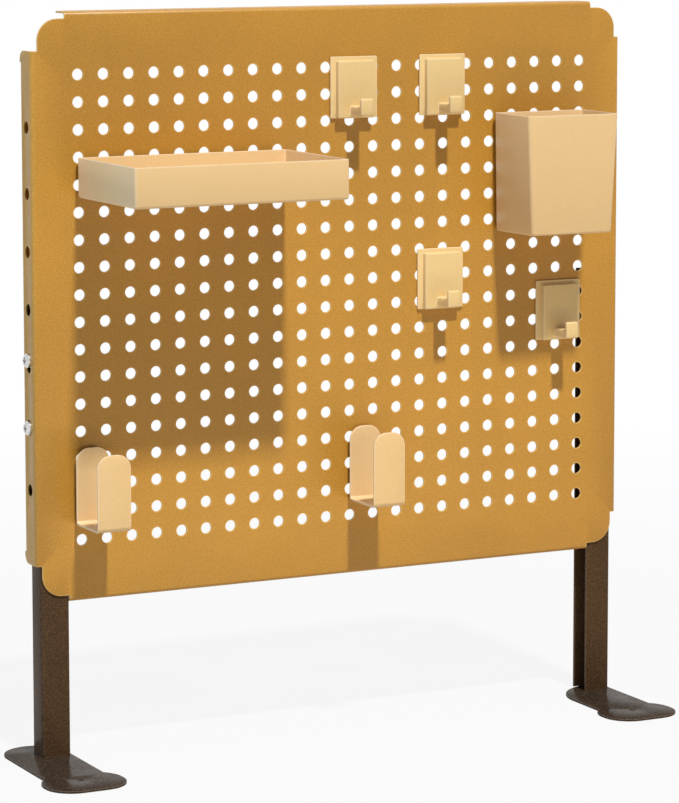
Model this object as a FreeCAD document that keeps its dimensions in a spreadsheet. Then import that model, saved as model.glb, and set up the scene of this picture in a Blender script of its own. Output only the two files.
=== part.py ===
import FreeCAD, Part
import math
import os
import re
import Sketcher

# A freestanding magnetic pegboard for a desk: a folded, perforated steel panel screwed to two
# C-shaped legs that stand on flat feet. A tray, a pen cup, two tablet holders and four hooks
# cling to its face by magnets and slide over it.
# X runs along the panel to the right, the front faces -Y and Z is up from the desk. The origin
# is the middle of the floor area that the whole organizer covers.

sizes = {
    # the perforated face and its margins
    "hole_pitch": 23,
    "hole_columns": 22,
    "hole_rows": 18,
    "hole_diameter": 9.6,
    "hole_sides": 8,
    "plain_hole_inset": 0.1,
    "round_hole_spacing": 5,
    "side_margin": 41.5,
    "end_margin": 52,
    "panel_floor_gap": 134,
    # the folded sheet
    "sheet_thickness": 1.5,
    "bend_inner_radius": 2,
    "flange_depth": 25,
    "side_lip_width": 10,
    "side_lip_relief": 10,
    "flange_corner_radius": 8,
    "side_flange_setback": 32,
    "end_flange_setback": 30,
    "tab_inset": 5.5,
    "tab_radius": 18,
    # height holes in the side flanges
    "side_hole_diameter": 10.5,
    "side_hole_step": 48.5,
    "far_side_hole_offset": 152,
    "slot_width": 9.5,
    "upper_screw_drop": 42.5,
    "screw_spacing": 57,
    # legs
    "leg_width": 25,
    "leg_thickness": 2,
    "leg_bend_radius": 3,
    "leg_length": 386,
    # feet
    "foot_thickness": 2,
    "foot_offset": 11.5,
    "foot_neck_width": 53,
    "foot_head_width": 70,
    "foot_head_length": 53.5,
    "foot_head_radius": 24,
    "foot_front_reach": 111.5,
    "foot_back_reach": 47,
    "foot_hole_diameter": 6.5,
    "foot_hole_reach": 78,
    "foot_heel_radius": 42,
    "foot_corner_radius": 8,
    # side screws, their spacers and nuts
    "screw_diameter": 6,
    "screw_hole_clearance": 0.6,
    "screw_head_diameter": 12.2,
    "screw_head_height": 3.6,
    "screw_head_bevel": 1.8,
    "screw_tip_length": 2,
    "recess_width": 1.6,
    "recess_span": 6,
    "recess_depth": 1.8,
    "spacer_thickness": 3,
    "spacer_diameter": 12,
    "thread_clearance": 0.2,
    "nut_width": 10,
    "nut_thickness": 5,
    # magnets that hold the tray, cup and holders, and the air left in front of the panel
    "magnet_thickness": 3,
    "magnet_gap": 0.3,
    # tray
    "tray_width": 193,
    "tray_depth": 119,
    "tray_height": 33.5,
    "tray_corner_radius": 2.5,
    "tray_wall": 1.5,
    "tray_shift": -147.5,
    "tray_drop": 120.7,
    "tray_magnet_width": 60,
    "tray_magnet_height": 22,
    "tray_magnet_spacing": 110,
    # pen cup
    "cup_width": 90.7,
    "cup_depth": 61.5,
    "cup_height": 104.5,
    "cup_wall": 1.5,
    "cup_back_taper": 1.6,
    "cup_front_taper": 5.1,
    "cup_front_slope": 1.8,
    "cup_corner_radius": 3.5,
    "cup_shift": 198.2,
    "cup_drop": 95.7,
    "cup_magnet_width": 60,
    "cup_magnet_height": 20,
    "cup_magnet_spacing": 50,
    # tablet holders
    "holder_width": 30,
    "holder_depth": 46.7,
    "holder_height": 65,
    "holder_thickness": 2,
    "holder_bend_radius": 2,
    "holder_corner_radius": 12,
    "holder_bottom_drop": 429.5,
    "left_holder_shift": -233,
    "right_holder_shift": 24.5,
    "holder_magnet_width": 24,
    "holder_magnet_height": 40,
    # hooks
    "hook_width": 45,
    "hook_height": 53,
    "hook_plate_thickness": 2,
    "hook_plate_radius": 1.5,
    "hook_front_width": 35,
    "hook_front_inset": 3.5,
    "hook_front_depth": 5,
    "hook_front_wall": 1.2,
    "hook_front_rounding": 1.5,
    "hook_arm_width": 12,
    "hook_arm_height": 7.5,
    "hook_arm_lift": 3,
    "hook_reach": 28,
    "hook_tip_height": 14.8,
    "hook_tip_thickness": 4,
    "hook_tip_rounding": 1.5,
    "hook_magnet_clearance": 0.2,
}

# where each hook sits: how far right of the panel's middle, how far below its top edge
hook_places = {
    "hook_1": (14.8, 43),
    "hook_2": (101.5, 43),
    "hook_3": (100.1, 213),
    "hook_4": (220, 247.5),
}

document = FreeCAD.newDocument("PegboardOrganizer")
sheet = document.addObject("Spreadsheet::Sheet", "Sizes")
for name, (shift, drop) in hook_places.items():
    sizes[name + "_shift"] = shift
    sizes[name + "_drop"] = drop
for row, (name, value) in enumerate(sizes.items(), start=1):
    sheet.set(f"A{row}", str(value))
    sheet.setAlias(f"A{row}", name)
document.recompute()

# formulas that more than one piece uses, in terms of the names in the sheet
panel_width = "((hole_columns - 1) * hole_pitch + 2 * side_margin)"
panel_height = "((hole_rows - 1) * hole_pitch + 2 * end_margin)"
outer_bend = "(bend_inner_radius + sheet_thickness)"
standoff = "(magnet_thickness + magnet_gap)"
face_y = f"((tray_depth + {standoff} - foot_back_reach) / 2)"
panel_middle_z = f"(panel_floor_gap + {panel_height} / 2)"
panel_top_z = f"(panel_floor_gap + {panel_height})"
leg_front_y = f"({face_y} + sheet_thickness)"
leg_depth = "(flange_depth - 2 * sheet_thickness)"
leg_middle_y = f"({leg_front_y} + {leg_depth} / 2)"
leg_outer_offset = f"({panel_width} / 2 - sheet_thickness - spacer_thickness)"
leg_middle_offset = f"({leg_outer_offset} - leg_width / 2)"
lower_screw_drop = "(upper_screw_drop + screw_spacing)"

sub_parts = []


def formula(text):
    """Point every size name in a formula at its cell in the sheet."""
    return re.sub(r"\b(" + "|".join(sizes) + r")\b", r"Sizes.\1", text)


def bind(item, setting, text):
    item.setExpression(setting, formula(text))


def new_body(name):
    body = document.addObject("PartDesign::Body", name)
    body.Label = name
    sub_parts.append(body)
    return body


def place(item, x, y, z):
    bind(item, "Placement.Base.x", x)
    bind(item, "Placement.Base.y", y)
    bind(item, "Placement.Base.z", z)


def origin_part(body, role):
    return next(part for part in body.Origin.OriginFeatures if part.Role == role)


def sketch_on(body, name, plane, offset=None):
    sketch = body.newObject("Sketcher::SketchObject", name)
    sketch.AttachmentSupport = [(origin_part(body, plane), "")]
    sketch.MapMode = "FlatFace"
    if offset:
        bind(sketch, "AttachmentOffset.Base.z", offset)
    return sketch


def constrain(sketch, text, *details):
    """Add a dimension whose value follows a formula."""
    number = sketch.addConstraint(Sketcher.Constraint(*details, 1.0))
    bind(sketch, f"Constraints[{number}]", text)


def pin_point(sketch, item, vertex, x, y):
    constrain(sketch, x, "DistanceX", -1, 1, item, vertex)
    constrain(sketch, y, "DistanceY", -1, 1, item, vertex)


def draw_polygon(sketch, corners):
    """Close a straight-sided outline through corners given as pairs of formulas."""
    first = sketch.GeometryCount
    count = len(corners)
    for number in range(count):
        start = FreeCAD.Vector(number, number * number, 0)
        end = FreeCAD.Vector(number + 1, (number + 1) * (number + 1), 0)
        sketch.addGeometry(Part.LineSegment(start, end), False)
    for number, (x, y) in enumerate(corners):
        before = first + (number - 1) % count
        sketch.addConstraint(Sketcher.Constraint("Coincident", before, 2, first + number, 1))
        pin_point(sketch, first + number, 1, x, y)


def draw_rectangle(sketch, left, right, low, high):
    draw_polygon(sketch, [(left, low), (right, low), (right, high), (left, high)])


def draw_circle(sketch, x, y, diameter):
    circle = Part.Circle(FreeCAD.Vector(0, 0, 0), FreeCAD.Vector(0, 0, 1), 1)
    number = sketch.addGeometry(circle, False)
    pin_point(sketch, number, 3, x, y)
    constrain(sketch, diameter, "Diameter", number)


def draw_slot(sketch, x, low, high, width):
    """An upright slot: two half circles about low and high, joined by straight sides."""
    upper = Part.Circle(FreeCAD.Vector(0, 10, 0), FreeCAD.Vector(0, 0, 1), 5)
    lower = Part.Circle(FreeCAD.Vector(0, -10, 0), FreeCAD.Vector(0, 0, 1), 5)
    top = sketch.addGeometry(Part.ArcOfCircle(upper, 0, math.pi), False)
    bottom = sketch.addGeometry(Part.ArcOfCircle(lower, math.pi, 2 * math.pi), False)
    left_line = Part.LineSegment(FreeCAD.Vector(-5, 10, 0), FreeCAD.Vector(-5, -10, 0))
    right_line = Part.LineSegment(FreeCAD.Vector(5, -10, 0), FreeCAD.Vector(5, 10, 0))
    left = sketch.addGeometry(left_line, False)
    right = sketch.addGeometry(right_line, False)
    for first, first_end, second, second_end in (
        (top, 2, left, 1),
        (left, 2, bottom, 1),
        (bottom, 2, right, 1),
        (right, 2, top, 1),
    ):
        sketch.addConstraint(
            Sketcher.Constraint("Tangent", first, first_end, second, second_end)
        )
    sketch.addConstraint(Sketcher.Constraint("Vertical", left))
    sketch.addConstraint(Sketcher.Constraint("Vertical", bottom, 3, top, 3))
    constrain(sketch, f"{width} / 2", "Radius", top)
    constrain(sketch, f"{high} - ({low})", "DistanceY", bottom, 3, top, 3)
    pin_point(sketch, top, 3, x, high)


def draw_rounded_outline(sketch, corners, radius):
    """Close an outline through corners, anticlockwise, each rounded off by an arc."""
    points = []
    for x, y in corners:
        points.append(sketch.addGeometry(Part.Point(FreeCAD.Vector(0, 0, 0)), True))
        pin_point(sketch, points[-1], 1, x, y)
    document.recompute()
    found = [sketch.Geometry[point] for point in points]
    places = [FreeCAD.Vector(point.X, point.Y, 0) for point in found]
    sides, rounds = [], []
    for before, here, after in zip(places[-1:] + places, places, places[1:] + places):
        arriving = (here - before).normalize()
        leaving = (after - here).normalize()
        sides.append(sketch.addGeometry(Part.LineSegment(here + leaving, after - leaving), False))
        inward = along_z.cross(arriving)
        start = math.atan2(-inward.y, -inward.x)
        circle = Part.Circle(here - arriving + inward, along_z, 1)
        arc = Part.ArcOfCircle(circle, start, start + arriving.getAngle(leaving))
        rounds.append(sketch.addGeometry(arc, False))
    for number, (point, side, arc) in enumerate(zip(points, sides, rounds)):
        before = sides[number - 1]
        sketch.addConstraint(Sketcher.Constraint("PointOnObject", point, 1, before))
        sketch.addConstraint(Sketcher.Constraint("PointOnObject", point, 1, side))
        sketch.addConstraint(Sketcher.Constraint("Tangent", before, 2, arc, 1))
        sketch.addConstraint(Sketcher.Constraint("Tangent", arc, 2, side, 1))
    for arc in rounds:
        constrain(sketch, radius, "Radius", arc)


def pad(body, name, sketch, length, symmetric=False, reverse=False):
    feature = body.newObject("PartDesign::Pad", name)
    feature.Profile = sketch
    feature.SideType = "Symmetric" if symmetric else "One side"
    feature.Reversed = reverse
    bind(feature, "Length", length)
    document.recompute()
    return feature


def pocket(body, name, sketch, length, symmetric=False, reverse=False):
    """Cut a sketch into the body, and make sure that it has removed something."""
    before = body.Shape.Volume
    feature = body.newObject("PartDesign::Pocket", name)
    feature.Profile = sketch
    feature.SideType = "Symmetric" if symmetric else "One side"
    feature.Reversed = reverse
    bind(feature, "Length", length)
    document.recompute()
    if feature.Shape.Volume >= before:
        raise RuntimeError(f"{name} cuts nothing")
    return feature


def mirror(body, name, feature, plane):
    copy = body.newObject("PartDesign::Mirrored", name)
    copy.Originals = [feature]
    copy.MirrorPlane = (origin_part(body, plane), [""])
    body.Tip = copy
    document.recompute()
    return copy


def edges_of(shape, axis, test):
    """Names of the straight edges along an axis whose middle and length pass a test."""
    names = []
    for number, edge in enumerate(shape.Edges, start=1):
        if edge.Curve.TypeId != "Part::GeomLine":
            continue
        along = edge.Vertexes[-1].Point.sub(edge.Vertexes[0].Point).normalize()
        if abs(along.dot(axis)) > 0.999 and test(edge.CenterOfMass, edge.Length):
            names.append(f"Edge{number}")
    return names


def near(first, second):
    return abs(first - second) < 0.01


def fillet(body, name, feature, names, radius):
    rounding = body.newObject("PartDesign::Fillet", name)
    rounding.Base = (feature, names)
    bind(rounding, "Radius", radius)
    document.recompute()
    return rounding


def hollow(body, name, feature, opening, wall):
    """Shell a solid inwards from its one open face."""
    before = feature.Shape.Volume
    shell = body.newObject("PartDesign::Thickness", name)
    shell.Base = (feature, [opening])
    shell.Join = "Intersection"
    shell.Reversed = True
    bind(shell, "Value", wall)
    document.recompute()
    if shell.Shape.Volume >= before:
        raise RuntimeError(f"{name} hollows nothing")
    return shell


def repeat_body(body, name, axis, length, count=2):
    """Repeat the whole body along an axis as separate solids."""
    pattern = body.newObject("PartDesign::LinearPattern", name)
    pattern.TransformMode = "Whole shape"
    pattern.Direction = (origin_part(body, axis), [""])
    bind(pattern, "Length", length)
    pattern.Occurrences = count
    body.Tip = pattern
    document.recompute()
    return pattern


along_x = FreeCAD.Vector(1, 0, 0)
along_y = FreeCAD.Vector(0, 1, 0)
along_z = FreeCAD.Vector(0, 0, 1)


def make_panel():
    """The folded sheet: face, flanges, side lips, height holes and the field of pegboard holes."""
    body = new_body("pegboard_panel")
    place(body, "foot_offset", face_y, panel_middle_z)

    face = sketch_on(body, "PanelFace", "XZ_Plane")
    half_face = f"({panel_width} / 2 - tab_inset)"
    face_rise = f"({panel_height} / 2 - tab_inset)"
    draw_rectangle(face, f"-{half_face}", half_face, f"-{face_rise}", face_rise)
    plate = pad(body, "PanelFacePad", face, "sheet_thickness", reverse=True)
    corners = edges_of(plate.Shape, along_y, lambda middle, length: True)
    fillet(body, "PanelTabs", plate, corners, "tab_radius")

    # each flange is folded back from the face and stops short of the rounded corner tabs
    side = sketch_on(body, "SideFlange", "XY_Plane")
    draw_polygon(side, flange_profile(panel_width))
    side_length = f"{panel_height} - 2 * side_flange_setback"
    side_pad = pad(body, "SideFlangePad", side, side_length, symmetric=True)
    both_sides = mirror(body, "SideFlanges", side_pad, "YZ_Plane")
    round_flange_corners(body, "SideFlangeCorners", both_sides, along_x)

    # the side flanges turn in once more, so that each leg is nested in a folded channel
    lip = sketch_on(body, "SideLip", "XY_Plane")
    edge = f"({panel_width} / 2)"
    draw_rectangle(
        lip, f"{edge} - side_lip_width", edge, "flange_depth - sheet_thickness", "flange_depth"
    )
    lip_length = f"{side_length} - 2 * side_lip_relief"
    lip_pad = pad(body, "SideLipPad", lip, lip_length, symmetric=True)
    mirror(body, "SideLips", lip_pad, "YZ_Plane")

    end = sketch_on(body, "EndFlange", "YZ_Plane")
    draw_polygon(end, [(depth, across) for across, depth in flange_profile(panel_height)])
    end_length = f"{panel_width} - 2 * end_flange_setback"
    end_pad = pad(body, "EndFlangePad", end, end_length, symmetric=True)
    both_ends = mirror(body, "EndFlanges", end_pad, "XY_Plane")
    rounded = round_flange_corners(body, "EndFlangeCorners", both_ends, along_z)

    # the bends: outside along the face's edge, inside along the root of each flange
    half_width = rounded.Shape.BoundBox.XMax
    half_height = rounded.Shape.BoundBox.ZMax
    wall = float(sheet.get("sheet_thickness"))

    def on_bend(back):
        def test(middle, length):
            at_side = near(abs(middle.x), half_width - back) and length > half_height
            at_end = near(abs(middle.z), half_height - back) and length > half_height
            return near(middle.y, back) and (at_side or at_end)
        return test

    outer = edges_of(rounded.Shape, along_z, on_bend(0))
    outer += edges_of(rounded.Shape, along_x, on_bend(0))
    bent = fillet(body, "OuterBends", rounded, outer, outer_bend)
    inner = edges_of(bent.Shape, along_z, on_bend(wall))
    inner += edges_of(bent.Shape, along_x, on_bend(wall))
    fillet(body, "InnerBends", bent, inner, "bend_inner_radius")

    # height holes go through both side flanges, in line with the middle of the legs
    heights = sketch_on(body, "HeightHoles", "YZ_Plane")
    row = f"({leg_middle_y} - {face_y})"
    for offset in (
        "0 * side_hole_step",
        "side_hole_step",
        "2 * side_hole_step",
        "far_side_hole_offset",
        "-far_side_hole_offset",
    ):
        draw_circle(heights, row, offset, "side_hole_diameter")
    draw_slot(heights, row, "-side_hole_step", "-upper_screw_drop", "slot_width")
    draw_slot(heights, row, f"-{lower_screw_drop}", "-2 * side_hole_step", "slot_width")
    pocket(body, "HeightHolePocket", heights, f"{panel_width} * 1.5", symmetric=True)

    # four holes about the middle are true rounds for bolting something to the face
    rounds = sketch_on(body, "RoundHoles", "XZ_Plane")
    reach = "(round_hole_spacing * hole_pitch / 2)"
    for x in (reach, f"-{reach}"):
        for z in (reach, f"-{reach}"):
            draw_circle(rounds, x, z, "hole_diameter")
    pocket(body, "RoundHolePocket", rounds, "sheet_thickness * 4", symmetric=True)

    # the rest of the field is many-sided and lies just inside the round size
    prism = body.newObject("PartDesign::SubtractivePrism", "PegHole")
    prism.AttachmentSupport = [(origin_part(body, "XZ_Plane"), "")]
    prism.MapMode = "FlatFace"
    bind(prism, "Polygon", "hole_sides")
    bind(prism, "Circumradius", "hole_diameter / 2 - plain_hole_inset")
    bind(prism, "Height", "sheet_thickness * 3")
    bind(prism, "AttachmentOffset.Base.x", "-(hole_columns - 1) * hole_pitch / 2")
    bind(prism, "AttachmentOffset.Base.y", "-(hole_rows - 1) * hole_pitch / 2")
    bind(prism, "AttachmentOffset.Base.z", "-sheet_thickness * 2")
    grid = body.newObject("PartDesign::MultiTransform", "PegHoleGrid")
    grid.Originals = [prism]
    columns = document.addObject("PartDesign::LinearPattern", "PegHoleColumns")
    columns.Direction = (origin_part(body, "X_Axis"), [""])
    bind(columns, "Length", "(hole_columns - 1) * hole_pitch")
    bind(columns, "Occurrences", "hole_columns")
    rows = document.addObject("PartDesign::LinearPattern", "PegHoleRows")
    rows.Direction = (origin_part(body, "Z_Axis"), [""])
    bind(rows, "Length", "(hole_rows - 1) * hole_pitch")
    bind(rows, "Occurrences", "hole_rows")
    grid.Transformations = [columns, rows]
    body.Tip = grid
    document.recompute()


def flange_profile(span):
    """Cross-section of a flange and the strip of face that it is folded from."""
    edge = f"({span} / 2)"
    root = f"({edge} - 4 * {outer_bend})"
    return [
        (root, "0 * sheet_thickness"),
        (edge, "0 * sheet_thickness"),
        (edge, "flange_depth"),
        (f"{edge} - sheet_thickness", "flange_depth"),
        (f"{edge} - sheet_thickness", "sheet_thickness"),
        (root, "sheet_thickness"),
    ]


def round_flange_corners(body, name, feature, axis):
    """Round the free corners at the back of a pair of flanges."""
    back = feature.Shape.BoundBox.YMax
    wall = float(sheet.get("sheet_thickness"))
    names = edges_of(
        feature.Shape,
        axis,
        lambda middle, length: near(middle.y, back) and near(length, wall),
    )
    return fillet(body, name, feature, names, "flange_corner_radius")


def make_leg(side):
    """A C-shaped leg that opens inwards; side is -1 on the left and 1 on the right."""
    body = new_body("leg_left" if side < 0 else "leg_right")
    place(body, f"foot_offset + {side} * {leg_middle_offset}", leg_middle_y, "foot_thickness")
    section = sketch_on(body, f"{body.Label}_section", "XY_Plane")
    outside = f"({side} * leg_width / 2)"
    web = f"({side} * (leg_width / 2 - leg_thickness))"
    front = f"(-{leg_depth} / 2)"
    back = f"({leg_depth} / 2)"
    draw_polygon(section, [
        (outside, front),
        (outside, back),
        (f"-{outside}", back),
        (f"-{outside}", f"{back} - leg_thickness"),
        (web, f"{back} - leg_thickness"),
        (web, f"{front} + leg_thickness"),
        (f"-{outside}", f"{front} + leg_thickness"),
        (f"-{outside}", front),
    ])
    channel = pad(body, f"{body.Label}_channel", section, "leg_length")
    limit = channel.Shape.BoundBox
    outer_x = limit.XMax if side > 0 else limit.XMin
    wall = float(sheet.get("leg_thickness"))
    outer = edges_of(channel.Shape, along_z, lambda middle, length: near(middle.x, outer_x))
    bent = fillet(body, f"{body.Label}_outer_bends", channel, outer, "leg_bend_radius")
    inner = edges_of(
        bent.Shape,
        along_z,
        lambda middle, length: near(middle.x, outer_x - side * wall)
        and not near(abs(middle.y), limit.YMax),
    )
    bent = fillet(
        body, f"{body.Label}_inner_bends", bent, inner, "leg_bend_radius - leg_thickness"
    )
    holes = sketch_on(body, f"{body.Label}_holes", "YZ_Plane")
    for drop in ("upper_screw_drop", lower_screw_drop):
        height = f"{panel_middle_z} - {drop} - foot_thickness"
        draw_circle(holes, "0 * leg_width", height, "screw_diameter + screw_hole_clearance")
    pocket(
        body, f"{body.Label}_hole_pocket", holes, "leg_width", reverse=side > 0
    )


def make_foot(side):
    """A flat foot with a broad rounded head in front and a neck that runs under the leg."""
    body = new_body("foot_plate_left" if side < 0 else "foot_plate_right")
    place(body, f"{side} * {leg_middle_offset}", face_y, "0 * foot_thickness")
    label = body.Label
    toe = "(-foot_front_reach)"
    head_back = f"({toe} + foot_head_length)"
    head_middle = f"({toe} + foot_head_length / 2)"
    head = sketch_on(body, f"{label}_head_outline", "XY_Plane")
    draw_rectangle(head, "-foot_head_width / 2", "foot_head_width / 2", toe, head_back)
    head_pad = pad(body, f"{label}_head", head, "foot_thickness")
    corners = edges_of(head_pad.Shape, along_z, lambda middle, length: True)
    fillet(body, f"{label}_head_corners", head_pad, corners, "foot_head_radius")

    neck = sketch_on(body, f"{label}_neck_outline", "XY_Plane")
    left = "-foot_neck_width / 2"
    right = "foot_neck_width / 2"
    if side < 0:
        heel = "foot_back_reach - foot_neck_width / 2"
        draw_rectangle(neck, left, right, head_middle, heel)
        pad(body, f"{label}_neck", neck, "foot_thickness")
        tail = sketch_on(body, f"{label}_tail_outline", "XY_Plane")
        draw_circle(tail, "0 * foot_offset", heel, "foot_neck_width")
        pad(body, f"{label}_tail", tail, "foot_thickness")
    else:
        heel = f"({leg_front_y} - {face_y} + {leg_depth})"
        draw_rectangle(neck, left, right, head_middle, heel)
        neck_pad = pad(body, f"{label}_neck", neck, "foot_thickness")
        end = neck_pad.Shape.BoundBox.YMax
        inner = edges_of(
            neck_pad.Shape,
            along_z,
            lambda middle, length: near(middle.y, end) and middle.x < 0,
        )
        heeled = fillet(body, f"{label}_heel", neck_pad, inner, "foot_heel_radius")
        outer = edges_of(
            heeled.Shape,
            along_z,
            lambda middle, length: near(middle.y, end) and middle.x > 20,
        )
        fillet(body, f"{label}_heel_corner", heeled, outer, "foot_corner_radius")
    hole = sketch_on(body, f"{label}_hole", "XY_Plane")
    draw_circle(hole, "0 * foot_offset", "-foot_hole_reach", "foot_hole_diameter")
    pocket(body, f"{label}_hole_pocket", hole, "foot_thickness * 4", symmetric=True)


def make_side_fasteners(side):
    """Two screws through the flange, the spacers behind it and the nuts inside the leg."""
    word = "left" if side < 0 else "right"
    axis_y = leg_middle_y
    lowest_z = f"({panel_middle_z} - {lower_screw_drop})"
    panel_side = f"(foot_offset + {side} * {panel_width} / 2)"
    grip = "(sheet_thickness + spacer_thickness + leg_thickness + nut_thickness)"

    screws = new_body(f"side_screws_{word}")
    place(screws, panel_side, axis_y, lowest_z)
    half = sketch_on(screws, f"screw_profile_{word}", "XZ_Plane")
    tip = f"(-({grip} + screw_tip_length) * {side})"
    crown = f"(screw_head_height * {side})"
    draw_polygon(half, [
        (tip, "0 * screw_diameter"),
        (tip, "screw_diameter / 2"),
        ("0 * screw_diameter", "screw_diameter / 2"),
        ("0 * screw_diameter", "screw_head_diameter / 2"),
        (crown, "screw_head_diameter / 2"),
        (crown, "0 * screw_diameter"),
    ])
    turned = screws.newObject("PartDesign::Revolution", f"screw_{word}")
    turned.Profile = half
    turned.ReferenceAxis = (origin_part(screws, "X_Axis"), [""])
    turned.Angle = 360
    document.recompute()
    crown_x = float(sheet.get("screw_head_height")) * side
    rim = [
        f"Edge{number}"
        for number, edge in enumerate(turned.Shape.Edges, start=1)
        if edge.Curve.TypeId == "Part::GeomCircle" and near(edge.Curve.Center.x, crown_x)
    ]
    bevelled = screws.newObject("PartDesign::Chamfer", f"screw_crown_{word}")
    bevelled.Base = (turned, rim)
    bind(bevelled, "Size", "screw_head_bevel")
    cross = sketch_on(screws, f"screw_recess_{word}", "YZ_Plane", crown)
    draw_cross(cross, "(recess_span / 2)", "(recess_width / 2)")
    pocket(screws, f"screw_recess_cut_{word}", cross, "recess_depth", reverse=side < 0)
    repeat_body(screws, f"screw_pair_{word}", "Z_Axis", "screw_spacing")

    spacers = new_body(f"spacer_washers_{word}")
    place(spacers, f"{panel_side} - {side} * sheet_thickness", axis_y, lowest_z)
    ring = sketch_on(spacers, f"spacer_ring_{word}", "YZ_Plane")
    draw_circle(ring, "0 * leg_width", "0 * leg_width", "spacer_diameter")
    draw_circle(ring, "0 * leg_width", "0 * leg_width", "screw_diameter + screw_hole_clearance")
    pad(spacers, f"spacer_{word}", ring, "spacer_thickness", reverse=side > 0)
    repeat_body(spacers, f"spacer_pair_{word}", "Z_Axis", "screw_spacing")

    nuts = new_body(f"weld_nuts_{word}")
    nut_face = "(sheet_thickness + spacer_thickness + leg_thickness)"
    place(nuts, f"{panel_side} - {side} * {nut_face}", axis_y, lowest_z)
    hexagon = sketch_on(nuts, f"nut_outline_{word}", "YZ_Plane")
    flat = "(nut_width / 2)"
    point = "(nut_width / 2 / cos(30))"
    shoulder = "(nut_width / 2 * tan(30))"
    draw_polygon(hexagon, [
        (point, "0 * nut_width"),
        (shoulder, flat),
        (f"-{shoulder}", flat),
        (f"-{point}", "0 * nut_width"),
        (f"-{shoulder}", f"-{flat}"),
        (shoulder, f"-{flat}"),
    ])
    draw_circle(hexagon, "0 * nut_width", "0 * nut_width", "screw_diameter + thread_clearance")
    pad(nuts, f"nut_{word}", hexagon, "nut_thickness", reverse=side > 0)
    repeat_body(nuts, f"nut_pair_{word}", "Z_Axis", "screw_spacing")


def draw_cross(sketch, reach, half):
    """A cross of two equal bars about the sketch's origin."""
    draw_polygon(sketch, [
        (reach, f"-{half}"),
        (reach, half),
        (half, half),
        (half, reach),
        (f"-{half}", reach),
        (f"-{half}", half),
        (f"-{reach}", half),
        (f"-{reach}", f"-{half}"),
        (f"-{half}", f"-{half}"),
        (f"-{half}", f"-{reach}"),
        (half, f"-{reach}"),
        (half, f"-{half}"),
    ])


def make_magnets(name, x, top, width, height, depth, back, spacing=None, axis="X_Axis"):
    """Flat bar magnets: one, or a pair about the middle; top is their upper edge at the start."""
    body = new_body(name)
    bar = sketch_on(body, f"{name}_outline", "XZ_Plane")
    shift = f" - {spacing} / 2" if spacing else ""
    across = shift if axis == "X_Axis" else ""
    place(body, f"{x}{across}", back, f"{top} - {height}")
    draw_rectangle(bar, f"-{width} / 2", f"{width} / 2", "0 * magnet_gap", height)
    pad(body, f"{name}_bar", bar, depth)
    if spacing:
        repeat_body(body, f"{name}_pair", axis, spacing)


def face_magnet_y():
    """Back of a magnet that lies between the panel and an accessory."""
    return f"({face_y} - magnet_gap)"


def top_face(shape):
    """Name of the highest flat face of a shape."""
    highest = max(range(len(shape.Faces)), key=lambda number: shape.Faces[number].CenterOfMass.z)
    return f"Face{highest + 1}"


def make_tray():
    """A shallow open tray with rounded bends, held by two bar magnets on its back."""
    body = new_body("tray_box")
    middle_x = "(foot_offset + tray_shift)"
    back_y = f"({face_y} - {standoff})"
    place(body, middle_x, back_y, f"{panel_top_z} - tray_drop - tray_height")
    floor = sketch_on(body, "TrayOutline", "XY_Plane")
    draw_rectangle(floor, "-tray_width / 2", "tray_width / 2", "-tray_depth", "0 * tray_depth")
    block = pad(body, "TrayBlock", floor, "tray_height")
    upright = edges_of(block.Shape, along_z, lambda middle, length: True)
    rounded = fillet(body, "TrayBends", block, upright, "tray_corner_radius")
    hollow(body, "TrayShell", rounded, top_face(rounded.Shape), "tray_wall")
    make_magnets(
        "tray_magnets", middle_x,
        f"{panel_top_z} - tray_drop - (tray_height - tray_magnet_height) / 2",
        "tray_magnet_width", "tray_magnet_height", "magnet_thickness",
        face_magnet_y(), "tray_magnet_spacing",
    )


def make_pen_cup():
    """A tapering open cup: a loft from its base to its rim, shelled, with two bar magnets."""
    body = new_body("pen_cup_box")
    middle_x = "(foot_offset + cup_shift)"
    back_y = f"({face_y} - {standoff})"
    place(body, middle_x, back_y, f"{panel_top_z} - cup_drop - cup_height")
    outside = cup_loft(body, "Cup", "0 * cup_wall", "PartDesign::AdditiveLoft")
    inside = cup_loft(body, "CupInside", "cup_wall", "PartDesign::SubtractiveLoft")
    if inside.Shape.Volume >= outside.Shape.Volume:
        raise RuntimeError("the cup is not hollow")
    make_magnets(
        "pen_cup_magnets", middle_x,
        f"{panel_top_z} - cup_drop - (cup_height + cup_magnet_spacing - cup_magnet_height) / 2",
        "cup_magnet_width", "cup_magnet_height", "magnet_thickness",
        face_magnet_y(), "cup_magnet_spacing", "Z_Axis",
    )


def cup_loft(body, name, wall, kind):
    """A ruled loft between the rim and the base, each a wall's thickness inside the outer form."""
    base = sketch_on(body, f"{name}Base", "XY_Plane", wall)
    back_half = f"(cup_width / 2 - cup_back_taper - {wall})"
    front_half = f"(cup_width / 2 - cup_front_taper - {wall})"
    base_front = f"(cup_front_slope - cup_depth + {wall})"
    corner = f"(cup_corner_radius - {wall})"
    draw_rounded_outline(base, [
        (f"-{front_half}", base_front),
        (front_half, base_front),
        (back_half, f"-{wall}"),
        (f"-{back_half}", f"-{wall}"),
    ], corner)
    rim = sketch_on(body, f"{name}Rim", "XY_Plane", "cup_height")
    half = f"(cup_width / 2 - {wall})"
    front = f"({wall} - cup_depth)"
    draw_rounded_outline(rim, [
        (f"-{half}", front),
        (half, front),
        (half, f"-{wall}"),
        (f"-{half}", f"-{wall}"),
    ], corner)
    loft = body.newObject(kind, f"{name}Loft")
    loft.Profile = rim
    loft.Sections = [base]
    loft.Ruled = True
    document.recompute()
    return loft


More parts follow.
